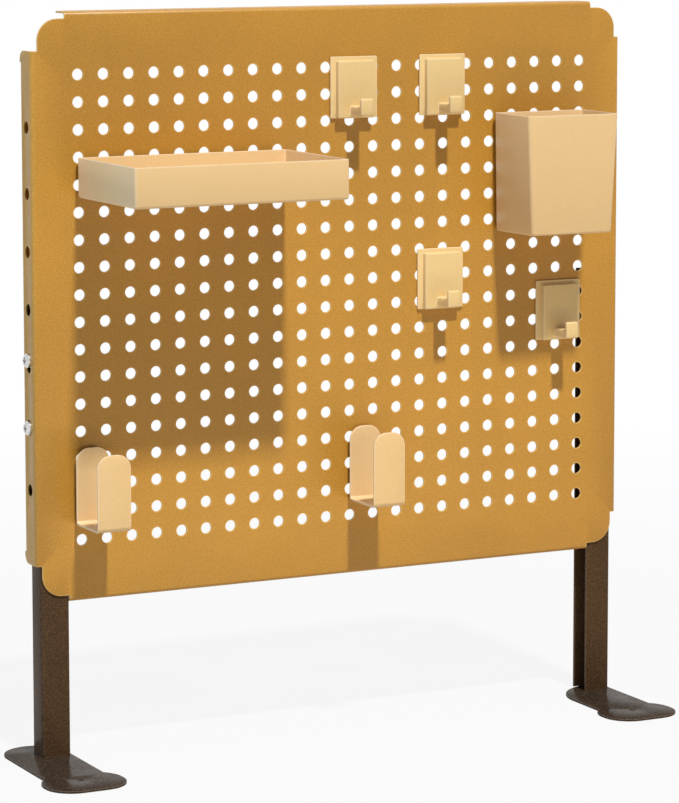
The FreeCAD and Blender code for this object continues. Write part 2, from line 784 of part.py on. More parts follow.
def make_tablet_holder(word):
    """A strip folded into a U that opens upwards, with one magnet behind it."""
    body = new_body(f"tablet_holder_{word}")
    middle_x = f"(foot_offset + {word}_holder_shift)"
    bottom_z = f"({panel_top_z} - holder_bottom_drop)"
    place(body, middle_x, f"{face_y} - {standoff}", bottom_z)
    section = sketch_on(body, f"holder_section_{word}", "YZ_Plane")
    front = "(-holder_depth)"
    draw_polygon(section, [
        (front, "0 * holder_height"),
        ("0 * holder_depth", "0 * holder_height"),
        ("0 * holder_depth", "holder_height"),
        ("-holder_thickness", "holder_height"),
        ("-holder_thickness", "holder_thickness"),
        (f"{front} + holder_thickness", "holder_thickness"),
        (f"{front} + holder_thickness", "holder_height"),
        (front, "holder_height"),
    ])
    strip = pad(body, f"holder_strip_{word}", section, "holder_width", symmetric=True)
    limit = strip.Shape.BoundBox
    wall = float(sheet.get("holder_thickness"))
    outer = edges_of(strip.Shape, along_x, lambda middle, length: near(middle.z, 0))
    bent = fillet(
        body, f"holder_outer_bends_{word}", strip, outer, "holder_bend_radius + holder_thickness"
    )
    inner = edges_of(bent.Shape, along_x, lambda middle, length: near(middle.z, wall))
    bent = fillet(body, f"holder_inner_bends_{word}", bent, inner, "holder_bend_radius")
    corners = edges_of(bent.Shape, along_y, lambda middle, length: near(middle.z, limit.ZMax))
    fillet(body, f"holder_corners_{word}", bent, corners, "holder_corner_radius")
    make_magnets(
        f"tablet_holder_{word}_magnet", middle_x,
        f"{bottom_z} + (holder_height + holder_magnet_height) / 2",
        "holder_magnet_width", "holder_magnet_height", "magnet_thickness", face_magnet_y(),
    )


def make_hook(name):
    """A base plate, a hollow front with an arm and an upturned tip, and the magnet inside."""
    middle_x = f"(foot_offset + {name}_shift)"
    bottom_z = f"({panel_top_z} - {name}_drop - hook_height)"
    plate_back_y = f"({face_y} - magnet_gap)"

    base = new_body(f"{name}_base")
    place(base, middle_x, plate_back_y, bottom_z)
    outline = sketch_on(base, f"{name}_base_outline", "XZ_Plane")
    draw_rectangle(outline, "-hook_width / 2", "hook_width / 2", "0 * hook_height", "hook_height")
    plate = pad(base, f"{name}_plate", outline, "hook_plate_thickness")
    corners = edges_of(plate.Shape, along_y, lambda middle, length: True)
    fillet(base, f"{name}_plate_corners", plate, corners, "hook_plate_radius")

    front = new_body(f"{name}_front")
    place(front, middle_x, f"{plate_back_y} - hook_plate_thickness", bottom_z)
    pad_height = "(hook_height - hook_front_inset)"
    raised = sketch_on(front, f"{name}_front_outline", "XZ_Plane")
    half = "(hook_front_width / 2)"
    draw_rectangle(raised, f"-{half}", half, "0 * hook_height", pad_height)
    block = pad(front, f"{name}_front_pad", raised, "hook_front_depth")
    face = block.Shape.BoundBox.YMin
    rim = edges_of(block.Shape, along_x, lambda middle, length: near(middle.y, face))
    rim += edges_of(block.Shape, along_z, lambda middle, length: near(middle.y, face))
    fillet(front, f"{name}_front_rim", block, rim, "hook_front_rounding")
    cavity = sketch_on(front, f"{name}_cavity_outline", "XZ_Plane")
    inner = f"({half} - hook_front_wall)"
    draw_rectangle(
        cavity, f"-{inner}", inner, "hook_front_wall", f"{pad_height} - hook_front_wall"
    )
    pocket(front, f"{name}_cavity", cavity, "hook_front_depth - hook_front_wall", reverse=True)

    arm = sketch_on(front, f"{name}_arm_section", "YZ_Plane")
    reach = f"(-(hook_reach - hook_plate_thickness - magnet_gap))"
    root = "(-(hook_front_depth - hook_front_wall / 2))"
    draw_polygon(arm, [
        (root, "hook_arm_lift"),
        (reach, "hook_arm_lift"),
        (reach, "hook_arm_lift + hook_tip_height"),
        (f"{reach} + hook_tip_thickness", "hook_arm_lift + hook_tip_height"),
        (f"{reach} + hook_tip_thickness", "hook_arm_lift + hook_arm_height"),
        (root, "hook_arm_lift + hook_arm_height"),
    ])
    arm_pad = pad(front, f"{name}_arm", arm, "hook_arm_width", symmetric=True)
    limit = arm_pad.Shape.BoundBox
    tip = edges_of(arm_pad.Shape, along_x, lambda middle, length: near(middle.y, limit.YMin))
    fillet(front, f"{name}_tip_rounding", arm_pad, tip, "hook_tip_rounding")

    play = "hook_magnet_clearance"
    make_magnets(
        f"{name}_magnet", middle_x,
        f"{bottom_z} + {pad_height} - hook_front_wall - {play}",
        f"(hook_front_width - 2 * hook_front_wall - 2 * {play})",
        f"({pad_height} - 2 * hook_front_wall - 2 * {play})",
        f"(hook_front_depth - hook_front_wall - {play})",
        f"({plate_back_y} - hook_plate_thickness)",
    )


for side in (-1, 1):
    make_leg(side)
    make_foot(side)
    make_side_fasteners(side)
make_tray()
make_pen_cup()
for word in ("left", "right"):
    make_tablet_holder(word)
for name in hook_places:
    make_hook(name)
make_panel()

for item in document.Objects:
    if "Invalid" in item.State or "Error" in item.State:
        raise RuntimeError(f"{item.Name} could not be built")
for part in sub_parts:
    if part.Shape.isNull() or not part.Shape.isValid() or not part.Shape.Solids:
        raise RuntimeError(f"{part.Label} has no valid shape")

os.makedirs("parts", exist_ok=True)
for part in sub_parts:
    part.Shape.exportStep(f"parts/{part.Label}.step")
    box = part.Shape.BoundBox
    print(part.Label, len(part.Shape.Solids), round(part.Shape.Volume), box)
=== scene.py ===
import math

import bmesh
import bpy
from mathutils import Matrix, Vector


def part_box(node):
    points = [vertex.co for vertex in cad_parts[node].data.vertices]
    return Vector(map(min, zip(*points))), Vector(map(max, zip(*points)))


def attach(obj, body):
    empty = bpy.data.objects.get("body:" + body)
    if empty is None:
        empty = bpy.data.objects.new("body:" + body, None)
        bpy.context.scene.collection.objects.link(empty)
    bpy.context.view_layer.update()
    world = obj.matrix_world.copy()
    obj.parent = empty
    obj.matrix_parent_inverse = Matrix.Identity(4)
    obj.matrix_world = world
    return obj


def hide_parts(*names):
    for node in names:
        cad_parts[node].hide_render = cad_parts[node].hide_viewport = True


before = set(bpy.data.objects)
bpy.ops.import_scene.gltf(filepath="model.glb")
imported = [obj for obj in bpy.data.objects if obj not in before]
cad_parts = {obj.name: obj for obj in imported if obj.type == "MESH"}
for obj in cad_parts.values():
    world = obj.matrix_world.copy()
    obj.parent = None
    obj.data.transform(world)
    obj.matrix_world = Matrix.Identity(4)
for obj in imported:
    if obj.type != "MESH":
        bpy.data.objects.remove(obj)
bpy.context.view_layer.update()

# A magnetic pegboard desk organizer. The CAD frame gives every piece its place; the shapes and
# finishes that show are made here, in the same frame. Pieces are drawn in millimetres.
mm = 0.001
upright = Matrix.Rotation(math.radians(90), 4, "X")  # a flat drawing stands up and faces -Y


# finishes

def newNode(tree, kind, **settings):
    node = tree.nodes.new(kind)
    for key, value in settings.items():
        setattr(node, key, value)
    return node


def feed(tree, socket, value):
    # an input takes a link from another node, or a plain value
    if isinstance(value, bpy.types.NodeSocket):
        tree.links.new(value, socket)
    else:
        socket.default_value = value


def calc(tree, operation, first, second, clamp=False):
    node = newNode(tree, "ShaderNodeMath", operation=operation, use_clamp=clamp)
    feed(tree, node.inputs[0], first)
    feed(tree, node.inputs[1], second)
    return node.outputs[0]


def noise(tree, coords, scale, detail=2.0, roughness=0.5):
    node = newNode(tree, "ShaderNodeTexNoise")
    feed(tree, node.inputs["Vector"], coords)
    feed(tree, node.inputs["Scale"], scale)
    feed(tree, node.inputs["Detail"], detail)
    feed(tree, node.inputs["Roughness"], roughness)
    return node.outputs["Fac"]


def remap(tree, value, low, high, fromLow=0.3, fromHigh=0.7):
    node = newNode(tree, "ShaderNodeMapRange")
    feed(tree, node.inputs["From Min"], fromLow)
    feed(tree, node.inputs["From Max"], fromHigh)
    feed(tree, node.inputs["To Min"], low)
    feed(tree, node.inputs["To Max"], high)
    feed(tree, node.inputs["Value"], value)
    return node.outputs["Result"]


def mixColors(tree, share, first, second):
    node = newNode(tree, "ShaderNodeMix", data_type="RGBA")
    feed(tree, node.inputs["Factor"], share)
    feed(tree, node.inputs["A"], first)
    feed(tree, node.inputs["B"], second)
    return node.outputs["Result"]


def openGroup(name, inputs, outputs):
    # an empty node group with its named sockets
    tree = bpy.data.node_groups.new(name, "ShaderNodeTree")
    for label, value in inputs.items():
        kind = "NodeSocketColor" if isinstance(value, tuple) else "NodeSocketFloat"
        socket = tree.interface.new_socket(label, in_out="INPUT", socket_type=kind)
        socket.default_value = value
    for label, kind in outputs.items():
        tree.interface.new_socket(label, in_out="OUTPUT", socket_type=kind)
    given = newNode(tree, "NodeGroupInput").outputs
    result = newNode(tree, "NodeGroupOutput").inputs
    return tree, given, result


coat = {
    "driftScale": 9, "driftDetail": 3,
    "speckRange": (0.35, 0.65),  # specks go from dark to light between these noise values
    # metal flecks fade in between these random values of a fine mosaic's cells
    "fleckScale": 1100, "fleckRange": (0.80, 0.97),
    "smudgeScale": 38, "smudgeDetail": 4, "smudgeRoughness": 0.65, "smudgeGloss": 0.06,
    # how well the rounded normal agrees with the plain one, on an edge and on a flat
    "edgeRange": (0.92, 0.998), "edgeSamples": 4,
    "peelDistance": 0.0004, "sheenRoughness": 0.4,
}


def powderCoatGroup(spec):
    # sprayed powder: orange peel, a slow drift of tone, fine specks, flecks and smudges
    tree, given, result = openGroup("powderCoat", {
        "Color": (0.5, 0.5, 0.5, 1), "Drift": 0.1, "Speckle": 0.1, "Roughness": 0.5,
        "Peel Scale": 900.0, "Speck Scale": 900.0,
        "Fleck Color": (0.5, 0.5, 0.5, 1), "Flecks": 0.0,
    }, {
        "Color": "NodeSocketColor", "Roughness": "NodeSocketFloat",
        "Height": "NodeSocketFloat",
    })
    coords = newNode(tree, "ShaderNodeTexCoord").outputs["Object"]

    # tone: one, plus or minus the drift and the specks
    slow = noise(tree, coords, spec["driftScale"], spec["driftDetail"])
    drift = calc(tree, "MULTIPLY", remap(tree, slow, -1, 1), given["Drift"])
    fine = noise(tree, coords, given["Speck Scale"])
    specks = remap(tree, fine, -1, 1, *spec["speckRange"])
    specks = calc(tree, "MULTIPLY", specks, given["Speckle"])
    tone = calc(tree, "ADD", calc(tree, "ADD", drift, specks), 1)
    tinted = newNode(tree, "ShaderNodeVectorMath", operation="SCALE")
    feed(tree, tinted.inputs[0], given["Color"])
    feed(tree, tinted.inputs["Scale"], tone)

    cells = newNode(tree, "ShaderNodeTexVoronoi")
    feed(tree, cells.inputs["Scale"], spec["fleckScale"])
    feed(tree, cells.inputs["Vector"], coords)
    split = newNode(tree, "ShaderNodeSeparateColor")
    feed(tree, split.inputs[0], cells.outputs["Color"])
    chosen = remap(tree, split.outputs[0], 0, 1, *spec["fleckRange"])
    chosen = calc(tree, "MULTIPLY", chosen, given["Flecks"], clamp=True)
    flecked = mixColors(tree, chosen, tinted.outputs[0], given["Fleck Color"])
    feed(tree, result["Color"], flecked)

    # handling smudges change the gloss a little
    smudge = noise(
        tree, coords, spec["smudgeScale"], spec["smudgeDetail"], spec["smudgeRoughness"]
    )
    change = remap(tree, smudge, -spec["smudgeGloss"], spec["smudgeGloss"])
    gloss = calc(tree, "ADD", given["Roughness"], change, clamp=True)
    feed(tree, result["Roughness"], gloss)
    feed(tree, result["Height"], noise(tree, coords, given["Peel Scale"]))
    return tree


def edgeHighlightGroup(spec):
    # one along edges and nought on flats; it places a painted highlight where rounded edges
    # catch the light, partly also the thin, smoothed coat there
    tree, given, result = openGroup(
        "edgeHighlightMask", {"Radius": 0.001}, {"Mask": "NodeSocketFloat"}
    )
    rounded = newNode(tree, "ShaderNodeBevel", samples=spec["edgeSamples"])
    feed(tree, rounded.inputs["Radius"], given["Radius"])
    plain = newNode(tree, "ShaderNodeNewGeometry")
    match = newNode(tree, "ShaderNodeVectorMath", operation="DOT_PRODUCT")
    feed(tree, match.inputs[0], rounded.outputs["Normal"])
    feed(tree, match.inputs[1], plain.outputs["Normal"])
    mask = remap(tree, match.outputs["Value"], 1, 0, *spec["edgeRange"])
    feed(tree, result["Mask"], mask)
    return tree


def newMaterial(name):
    material = bpy.data.materials.new(name)
    material.use_nodes = True
    tree = material.node_tree
    return material, tree, tree.nodes["Principled BSDF"]


def addBump(tree, shader, height, strength, distance):
    bump = newNode(tree, "ShaderNodeBump")
    feed(tree, bump.inputs["Strength"], strength)
    feed(tree, bump.inputs["Distance"], distance)
    feed(tree, bump.inputs["Height"], height)
    feed(tree, shader.inputs["Normal"], bump.outputs["Normal"])


# each finish's edge colour is a lighter tone laid along its edges: a painted highlight where
# rounded edges catch the light, partly a thinner coat there
finishes = {
    "panelPaint": {
        "color": (0.505, 0.250, 0.031, 1), "roughness": 0.40, "drift": 0.06, "speckle": 0.13,
        "peel": 700, "bump": 0.10, "specular": 0.45, "sheen": 0.08, "speckScale": 800,
        "edgeHighlightColor": (0.88, 0.60, 0.20, 1), "edge": 0.85, "edgeWidth": 1.5,
    },
    "creamPaint": {
        "color": (0.770, 0.530, 0.255, 1), "roughness": 0.40, "drift": 0.03, "speckle": 0.035,
        "peel": 900, "bump": 0.06, "specular": 0.5, "sheen": 0.20, "speckScale": 1100,
        "edgeHighlightColor": (0.96, 0.82, 0.60, 1), "edge": 0.85, "edgeWidth": 1.5,
    },
    "hookCream": {
        "color": (0.800, 0.580, 0.265, 1), "roughness": 0.36, "drift": 0.03, "speckle": 0.03,
        "peel": 1100, "bump": 0.04, "specular": 0.5, "sheen": 0.10, "speckScale": 1100,
        "edgeHighlightColor": (0.96, 0.82, 0.60, 1), "edge": 0.8, "edgeWidth": 1.2,
    },
    "bronzePaint": {
        "color": (0.082, 0.047, 0.025, 1), "roughness": 0.34, "drift": 0.14, "speckle": 0.30,
        "peel": 520, "bump": 0.15, "specular": 0.035, "sheen": 0.0, "speckScale": 640,
        "edgeHighlightColor": (0.30, 0.22, 0.15, 1), "edge": 0.5, "edgeWidth": 1.2,
        "fleckColor": (0.30, 0.19, 0.10, 1), "flecks": 0.20,
    },
    # the legs' bronze, glossier and with its colour darkened: painted shade on the feet, whose
    # top faces catch more light
    "shadedBronzeGloss": {
        "color": (0.036, 0.024, 0.016, 1), "roughness": 0.24, "drift": 0.14, "speckle": 0.30,
        "peel": 520, "bump": 0.12, "specular": 0.015, "sheen": 0.0, "speckScale": 640,
        "edgeHighlightColor": (0.30, 0.24, 0.18, 1), "edge": 0.6, "edgeWidth": 1.2,
        "fleckColor": (0.34, 0.25, 0.17, 1), "flecks": 0.22,
    },
}


def paint(name, powderCoat, edgeHighlightMask):
    spec = finishes[name]
    material, tree, shader = newMaterial(name)
    layer = newNode(tree, "ShaderNodeGroup", node_tree=powderCoat)
    for label, key in (
        ("Color", "color"), ("Drift", "drift"), ("Speckle", "speckle"),
        ("Roughness", "roughness"), ("Peel Scale", "peel"), ("Speck Scale", "speckScale"),
        ("Fleck Color", "fleckColor"), ("Flecks", "flecks"),
    ):
        if key in spec:
            feed(tree, layer.inputs[label], spec[key])
    # the edges turn toward the lighter edge colour: painted highlight, partly thinner coat
    rim = newNode(tree, "ShaderNodeGroup", node_tree=edgeHighlightMask)
    feed(tree, rim.inputs["Radius"], spec["edgeWidth"] * mm)
    paintedHighlight = calc(tree, "MULTIPLY", rim.outputs["Mask"], spec["edge"])
    color = mixColors(tree, paintedHighlight, layer.outputs["Color"], spec["edgeHighlightColor"])
    feed(tree, shader.inputs["Base Color"], color)
    feed(tree, shader.inputs["Roughness"], layer.outputs["Roughness"])
    addBump(tree, shader, layer.outputs["Height"], spec["bump"], coat["peelDistance"])
    feed(tree, shader.inputs["Specular IOR Level"], spec["specular"])
    feed(tree, shader.inputs["Sheen Weight"], spec["sheen"])
    feed(tree, shader.inputs["Sheen Roughness"], coat["sheenRoughness"])
    return material


# each noise is scale, detail and roughness; dark and light are a place on the ramp and a tone
mottles = {
    # bright zinc with fine turning marks and a faint warm and blue cast
    "zincPlate": {
        "patches": (160, 3, 0.5),
        "dark": (0.35, (0.56, 0.57, 0.60, 1)), "light": (0.65, (0.74, 0.72, 0.67, 1)),
        "grain": (2600, 2, 0.5), "roughness": (0.22, 0.36), "metallic": 1,
        "bump": 0.12, "bumpDistance": 0.0001,
    },
    # a black rubber skin over a bar magnet, with a dusty bloom
    "magnetRubber": {
        "patches": (220, 5, 0.7),
        "dark": (0.4, (0.012, 0.012, 0.012, 1)), "light": (0.75, (0.032, 0.031, 0.029, 1)),
        "grain": (220, 5, 0.7), "roughness": (0.55, 0.8), "metallic": 0,
        "bump": 0.2, "bumpDistance": 0.0002,
    },
}


def mottled(name):
    spec = mottles[name]
    material, tree, shader = newMaterial(name)
    coords = newNode(tree, "ShaderNodeTexCoord").outputs["Object"]
    ramp = newNode(tree, "ShaderNodeValToRGB")
    for stop, key in zip(ramp.color_ramp.elements, ("dark", "light")):
        stop.position, stop.color = spec[key]
    feed(tree, ramp.inputs["Fac"], noise(tree, coords, *spec["patches"]))
    feed(tree, shader.inputs["Base Color"], ramp.outputs["Color"])
    grain = noise(tree, coords, *spec["grain"])
    feed(tree, shader.inputs["Roughness"], remap(tree, grain, *spec["roughness"]))
    addBump(tree, shader, grain, spec["bump"], spec["bumpDistance"])
    feed(tree, shader.inputs["Metallic"], spec["metallic"])
    return material


powderCoat = powderCoatGroup(coat)
edgeHighlightMask = edgeHighlightGroup(coat)
paints = {name: paint(name, powderCoat, edgeHighlightMask) for name in finishes}
paints.update({name: mottled(name) for name in mottles})
print("finishes ready")


# modelling helpers, in millimetres and radians

weld = 0.005  # closer corners become one
touch = 0.01  # a point this near a line or a face counts as on it
foldTurn = 1  # an edge whose faces turn more than this is a fold
crispTurn = math.radians(50)  # and one past this still needs its small round


def nodeBox(name):
    return [Vector([float(value) / mm for value in corner]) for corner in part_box(name)]


def newVerts(made):
    return [item for item in made["geom"] if isinstance(item, bmesh.types.BMVert)]


def runAlong(edge, axis):
    # how far an edge runs along an axis: 0, 1 and 2 are x, y and z
    return abs(edge.verts[0].co[axis] - edge.verts[1].co[axis])


def foldEdges(bm):
    # the edges where a sheet or a block turns a corner
    return [
        edge for edge in bm.edges
        if not edge.is_boundary and edge.calc_face_angle(0) > foldTurn
    ]


def faceOut(bm, test, direction):
    # make the faces agree, then turn them all if those that pass the test look inwards
    bmesh.ops.remove_doubles(bm, verts=bm.verts, dist=weld)
    bmesh.ops.recalc_face_normals(bm, faces=bm.faces)
    bm.normal_update()
    facing = sum(
        face.normal.dot(Vector(direction)) * face.calc_area()
        for face in bm.faces if test(face.calc_center_median())
    )
    if facing < 0:
        bmesh.ops.reverse_faces(bm, faces=bm.faces)
        bm.normal_update()


def roundEdges(bm, geom, radius, segments, affect="EDGES"):
    bmesh.ops.bevel(
        bm, geom=geom, offset=radius, segments=segments, affect=affect, profile=0.5,
        material=-1, clamp_overlap=True,
    )


def roundCorners(bm, verts, radius, segments):
    roundEdges(bm, verts, radius, segments, affect="VERTICES")


def softenEdges(bm, radius, where=lambda edge: True):
    # a small round on every crisp edge
    crisp = [
        edge for edge in bm.edges
        if len(edge.link_faces) == 2 and edge.calc_face_angle(0) > crispTurn
        and where(edge)
    ]
    roundEdges(bm, crisp, radius, segments=2)


def outline(bm, points):
    # a closed outline from a few points, returned as its verts
    verts = [bm.verts.new(point) for point in points]
    for first, second in zip(verts, verts[1:] + verts[:1]):
        bm.edges.new((first, second))
    return verts


def boxMesh(bm, low, high):
    # a block between two corners, returned as its faces
    low, high = Vector(low), Vector(high)
    size = high - low
    matrix = Matrix.Translation((low + high) / 2) @ Matrix.Diagonal((*size, 1))
    made = bmesh.ops.create_cube(bm, size=1, matrix=matrix)
    faces = {face for vert in made["verts"] for face in vert.link_faces}
    return list(faces)


def keepPiece(bm, name, material, body, node, matrix=Matrix(), smoothAngle=35):
    # a finished drawing becomes a piece: placed in its mesh, painted and riding on its body
    bmesh.ops.transform(bm, matrix=Matrix.Diagonal((mm, mm, mm, 1)) @ matrix, verts=bm.verts)
    mesh = bpy.data.meshes.new(name)
    bm.to_mesh(mesh)
    bm.free()
    piece = bpy.data.objects.new(name, mesh)
    bpy.context.scene.collection.objects.link(piece)
    mesh.materials.append(paints[material])
    mesh.shade_smooth()
    mesh.set_sharp_from_angle(angle=math.radians(smoothAngle))
    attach(piece, body)
    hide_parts(node)


panel = {
    "pitch": 23, "columns": 22, "rows": 18, "holeRadius": 4.8, "holeSides": 24,
    "sheet": 1.5, "bend": 3.5, "bendSteps": 6, "depth": 25, "edgeRound": 0.35,
    "tabInset": 5.5, "tabRadius": 18, "tabSteps": 10,
    # how far from the corners the side flanges start, and then the top and bottom ones
    "sideSetback": 32, "endSetback": 30, "flangeCorner": 8, "flangeSteps": 6,
    # heights from the panel's middle; the whole row stands holeLine behind the face
    "sideHoles": (0, 48.5, 97, 152, -152), "sideHoleRadius": 5.25, "holeLine": 12.5,
    "slots": ((-48.5, -42.5), (-99.5, -97)), "slotRadius": 4.75,
    "lipWidth": 10, "lipRelief": 10, "lipBend": 3.5,
    "softMargin": 0.1,  # only edges farther than this outside the field of holes are softened
}


def pegField(bm, spec):
    # one square cell with a round hole, repeated along a row and then up the board
    pitch = spec["pitch"]
    hole = bmesh.ops.create_circle(
        bm, segments=spec["holeSides"], radius=spec["holeRadius"], cap_ends=False
    )
    rim = list({edge for vert in hole["verts"] for edge in vert.link_edges})
    for vert in newVerts(bmesh.ops.extrude_edge_only(bm, edges=rim)):
        vert.co *= pitch / 2 / max(abs(vert.co.x), abs(vert.co.y))
    start = Vector(((spec["columns"] - 1) * pitch / 2, (spec["rows"] - 1) * pitch / 2, 0))
    bmesh.ops.translate(bm, verts=bm.verts, vec=-start)
    across, up = Vector((pitch, 0, 0)), Vector((0, pitch, 0))
    for step, count in ((across, spec["columns"]), (up, spec["rows"])):
        cell = bm.verts[:] + bm.edges[:] + bm.faces[:]
        for number in range(1, count):
            copy = newVerts(bmesh.ops.duplicate(bm, geom=cell))
            bmesh.ops.translate(bm, verts=copy, vec=step * number)
    bmesh.ops.remove_doubles(bm, verts=bm.verts, dist=touch)


def foldEdge(bm, edge, centre, axis, steps):
    # bend the sheet a quarter turn about an axis and return the new free edge
    bent = bmesh.ops.spin(
        bm, geom=[edge], cent=centre, axis=axis, angle=math.radians(90), steps=steps,
        use_merge=False,
    )
    return [item for item in bent["geom_last"] if isinstance(item, bmesh.types.BMEdge)][0]


def foldFlange(bm, root, reach, spec, along, holes, lip=False):
    # bend the root edge back, then fill the flat flange between its outline and its holes
    out = Vector((1, 0, 0)) if along == "Y" else Vector((0, 1, 0))
    sign = 1 if (root[0].co + root[1].co).dot(out) > 0 else -1
    turn = {"Y": Vector((0, 1, 0)), "X": Vector((-1, 0, 0))}[along] * sign
    centre = out * sign * (reach - spec["bend"]) + Vector((0, 0, -spec["bend"]))
    last = foldEdge(bm, bm.edges.get(root), centre, turn, spec["bendSteps"])
    near = list(last.verts)
    known = set(bm.edges) - {last}
    back = -spec["depth"]
    far = [bm.verts.new((vert.co.x, vert.co.y, back)) for vert in near]
    if lip:
        # the lip's foot stops short of the flange's round corners
        lipEnds = [bm.verts.new(vert.co) for vert in far]
        for vert in lipEnds:
            shorten = math.copysign(spec["lipRelief"], vert.co.y)
            vert.co += Vector((0, -shorten, 0))
        footEnds = [bm.verts.new(vert.co + Vector((0, 0, spec["lipBend"]))) for vert in lipEnds]
        bm.edges.new(footEnds)
        for corner, end, foot in zip(far, lipEnds, footEnds):
            bm.edges.new((corner, end))
            bm.edges.new((end, foot))
    else:
        bm.edges.new(far)
    for corner, start in zip(far, near):
        bm.edges.new((corner, start))
    roundCorners(bm, far, spec["flangeCorner"], spec["flangeSteps"])
    loops = [item for item in bm.edges if item not in known]
    flat = Matrix.Rotation(math.radians(90), 4, "Y")
    half = Matrix.Rotation(math.radians(180 / spec["holeSides"]), 4, "Z")
    for low, high, radius in holes:
        place = Matrix.Translation(out * sign * reach + Vector((0, low, -spec["holeLine"])))
        made = bmesh.ops.create_circle(
            bm, segments=spec["holeSides"], radius=radius, cap_ends=False,
            matrix=place @ flat @ half,
        )
        for vert in made["verts"]:
            if vert.co.y > low:
                vert.co.y += high - low
        loops += list({item for vert in made["verts"] for item in vert.link_edges})
    bmesh.ops.triangle_fill(bm, use_beauty=True, edges=loops)
    if lip:
        centre = out * sign * (reach - spec["lipBend"]) + Vector((0, 0, back + spec["lipBend"]))
        end = foldEdge(bm, bm.edges.get(footEnds), centre, turn, spec["bendSteps"])
        tip = newVerts(bmesh.ops.extrude_edge_only(bm, edges=[end]))
        inward = -out * sign * (spec["lipWidth"] - spec["lipBend"])
        bmesh.ops.translate(bm, verts=tip, vec=inward)


def pastField(edge, spec):
    # how far an edge lies outside the field of holes, where below nought is inside it
    middle = (edge.verts[0].co + edge.verts[1].co) / 2
    pastX = abs(middle.x) - spec["columns"] * spec["pitch"] / 2
    pastY = abs(middle.y) - spec["rows"] * spec["pitch"] / 2
    return pastX, pastY


def makePanel(spec):
    low, high = nodeBox("pegboard_panel")
    size = high - low
    halfWide, halfTall = size.x / 2, size.z / 2
    bm = bmesh.new()
    pegField(bm, spec)
    fieldEdge = [
        edge for edge in bm.edges
        if edge.is_boundary and min(abs(past) for past in pastField(edge, spec)) < touch
    ]

    # the plain margin runs out to the tabs and to the roots of the four flanges
    rootX, rootY = halfWide - spec["bend"], halfTall - spec["bend"]
    tabX, tabY = halfWide - spec["tabInset"], halfTall - spec["tabInset"]
    sideY, endX = halfTall - spec["sideSetback"], halfWide - spec["endSetback"]
    quarter = [(rootX, sideY), (tabX, sideY), (tabX, tabY), (endX, tabY), (endX, rootY)]
    points = list(quarter)
    points += [(-x, y) for x, y in reversed(quarter)]
    points += [(-x, -y) for x, y in quarter]
    points += [(x, -y) for x, y in reversed(quarter)]
    verts = outline(bm, [(x, y, 0) for x, y in points])
    count = len(quarter)
    # each root joins two quarters, and each tab's corner is its quarter's third point
    sideRoots = [(verts[-1], verts[0]), (verts[2 * count - 1], verts[2 * count])]
    endRoots = [(verts[count - 1], verts[count]), (verts[3 * count - 1], verts[3 * count])]
    tabs = [verts[number] for number in (2, 2 * count - 3, 2 * count + 2, 4 * count - 3)]
    known = set(bm.edges) - {edge for vert in verts for edge in vert.link_edges}
    roundCorners(bm, tabs, spec["tabRadius"], spec["tabSteps"])
    border = [edge for edge in bm.edges if edge not in known]
    bmesh.ops.triangle_fill(bm, use_beauty=True, edges=fieldEdge + border)

    holes = [(y, y, spec["sideHoleRadius"]) for y in spec["sideHoles"]]
    holes += [(start, end, spec["slotRadius"]) for start, end in spec["slots"]]
    for root in sideRoots:
        foldFlange(bm, root, halfWide, spec, "Y", holes, lip=True)
    for root in endRoots:
        foldFlange(bm, root, halfTall, spec, "X", [])

    faceOut(bm, lambda centre: centre.z > -touch, (0, 0, 1))
    bmesh.ops.solidify(bm, geom=bm.faces[:], thickness=spec["sheet"])
    margin = spec["softMargin"]
    softenEdges(bm, spec["edgeRound"], lambda edge: max(pastField(edge, spec)) > margin)
    place = Matrix.Translation(((low.x + high.x) / 2, low.y, (low.z + high.z) / 2)) @ upright
    keepPiece(
        bm, "pegboardSheet", "panelPaint", "root", "pegboard_panel",
        matrix=place, smoothAngle=30,
    )


makePanel(panel)
print("panel folded")


legs = {"wall": 2, "bend": 3, "bendSteps": 5, "edgeRound": 0.3}


def drawStrip(bm, path, reach):
    # a folded strip: its section's path, drawn out to its full width or height
    verts = [bm.verts.new(point) for point in path]
    edges = [bm.edges.new(pair) for pair in zip(verts, verts[1:])]
    made = bmesh.ops.extrude_edge_only(bm, edges=edges)
    bmesh.ops.translate(bm, verts=newVerts(made), vec=reach)


def makeLeg(side, spec):
    # a C channel: the web faces out and both flanges point inwards
    node = f"leg_{side}"
    low, high = nodeBox(node)
    outer, inner = (low.x, high.x) if side == "left" else (high.x, low.x)
    bm = bmesh.new()
    path = [(inner, low.y), (outer, low.y), (outer, high.y), (inner, high.y)]
    drawStrip(bm, [(x, y, low.z) for x, y in path], (0, 0, high.z - low.z))
    roundEdges(bm, foldEdges(bm), spec["bend"], spec["bendSteps"])
    direction = (-1 if side == "left" else 1, 0, 0)
    faceOut(bm, lambda centre: abs(centre.x - outer) < touch, direction)
    bmesh.ops.solidify(bm, geom=bm.faces[:], thickness=spec["wall"])
    softenEdges(bm, spec["edgeRound"])
    keepPiece(bm, f"{side}Leg", "bronzePaint", "root", node)


feet = {
    "neck": 53, "headWidth": 70, "headLength": 53.5, "headRadius": 24,
    "heelRadius": 42, "cornerRadius": 8, "holeRadius": 3.25, "holeFromToe": 33.5,
    "holeSides": 24, "plate": 2, "edgeRound": 0.35,
    "toeSteps": 10, "flareSteps": 6, "heelSteps": 12, "cornerSteps": 5,
    "nearlyWhole": 0.999,  # a round that takes up its whole edge stops just short of it
}


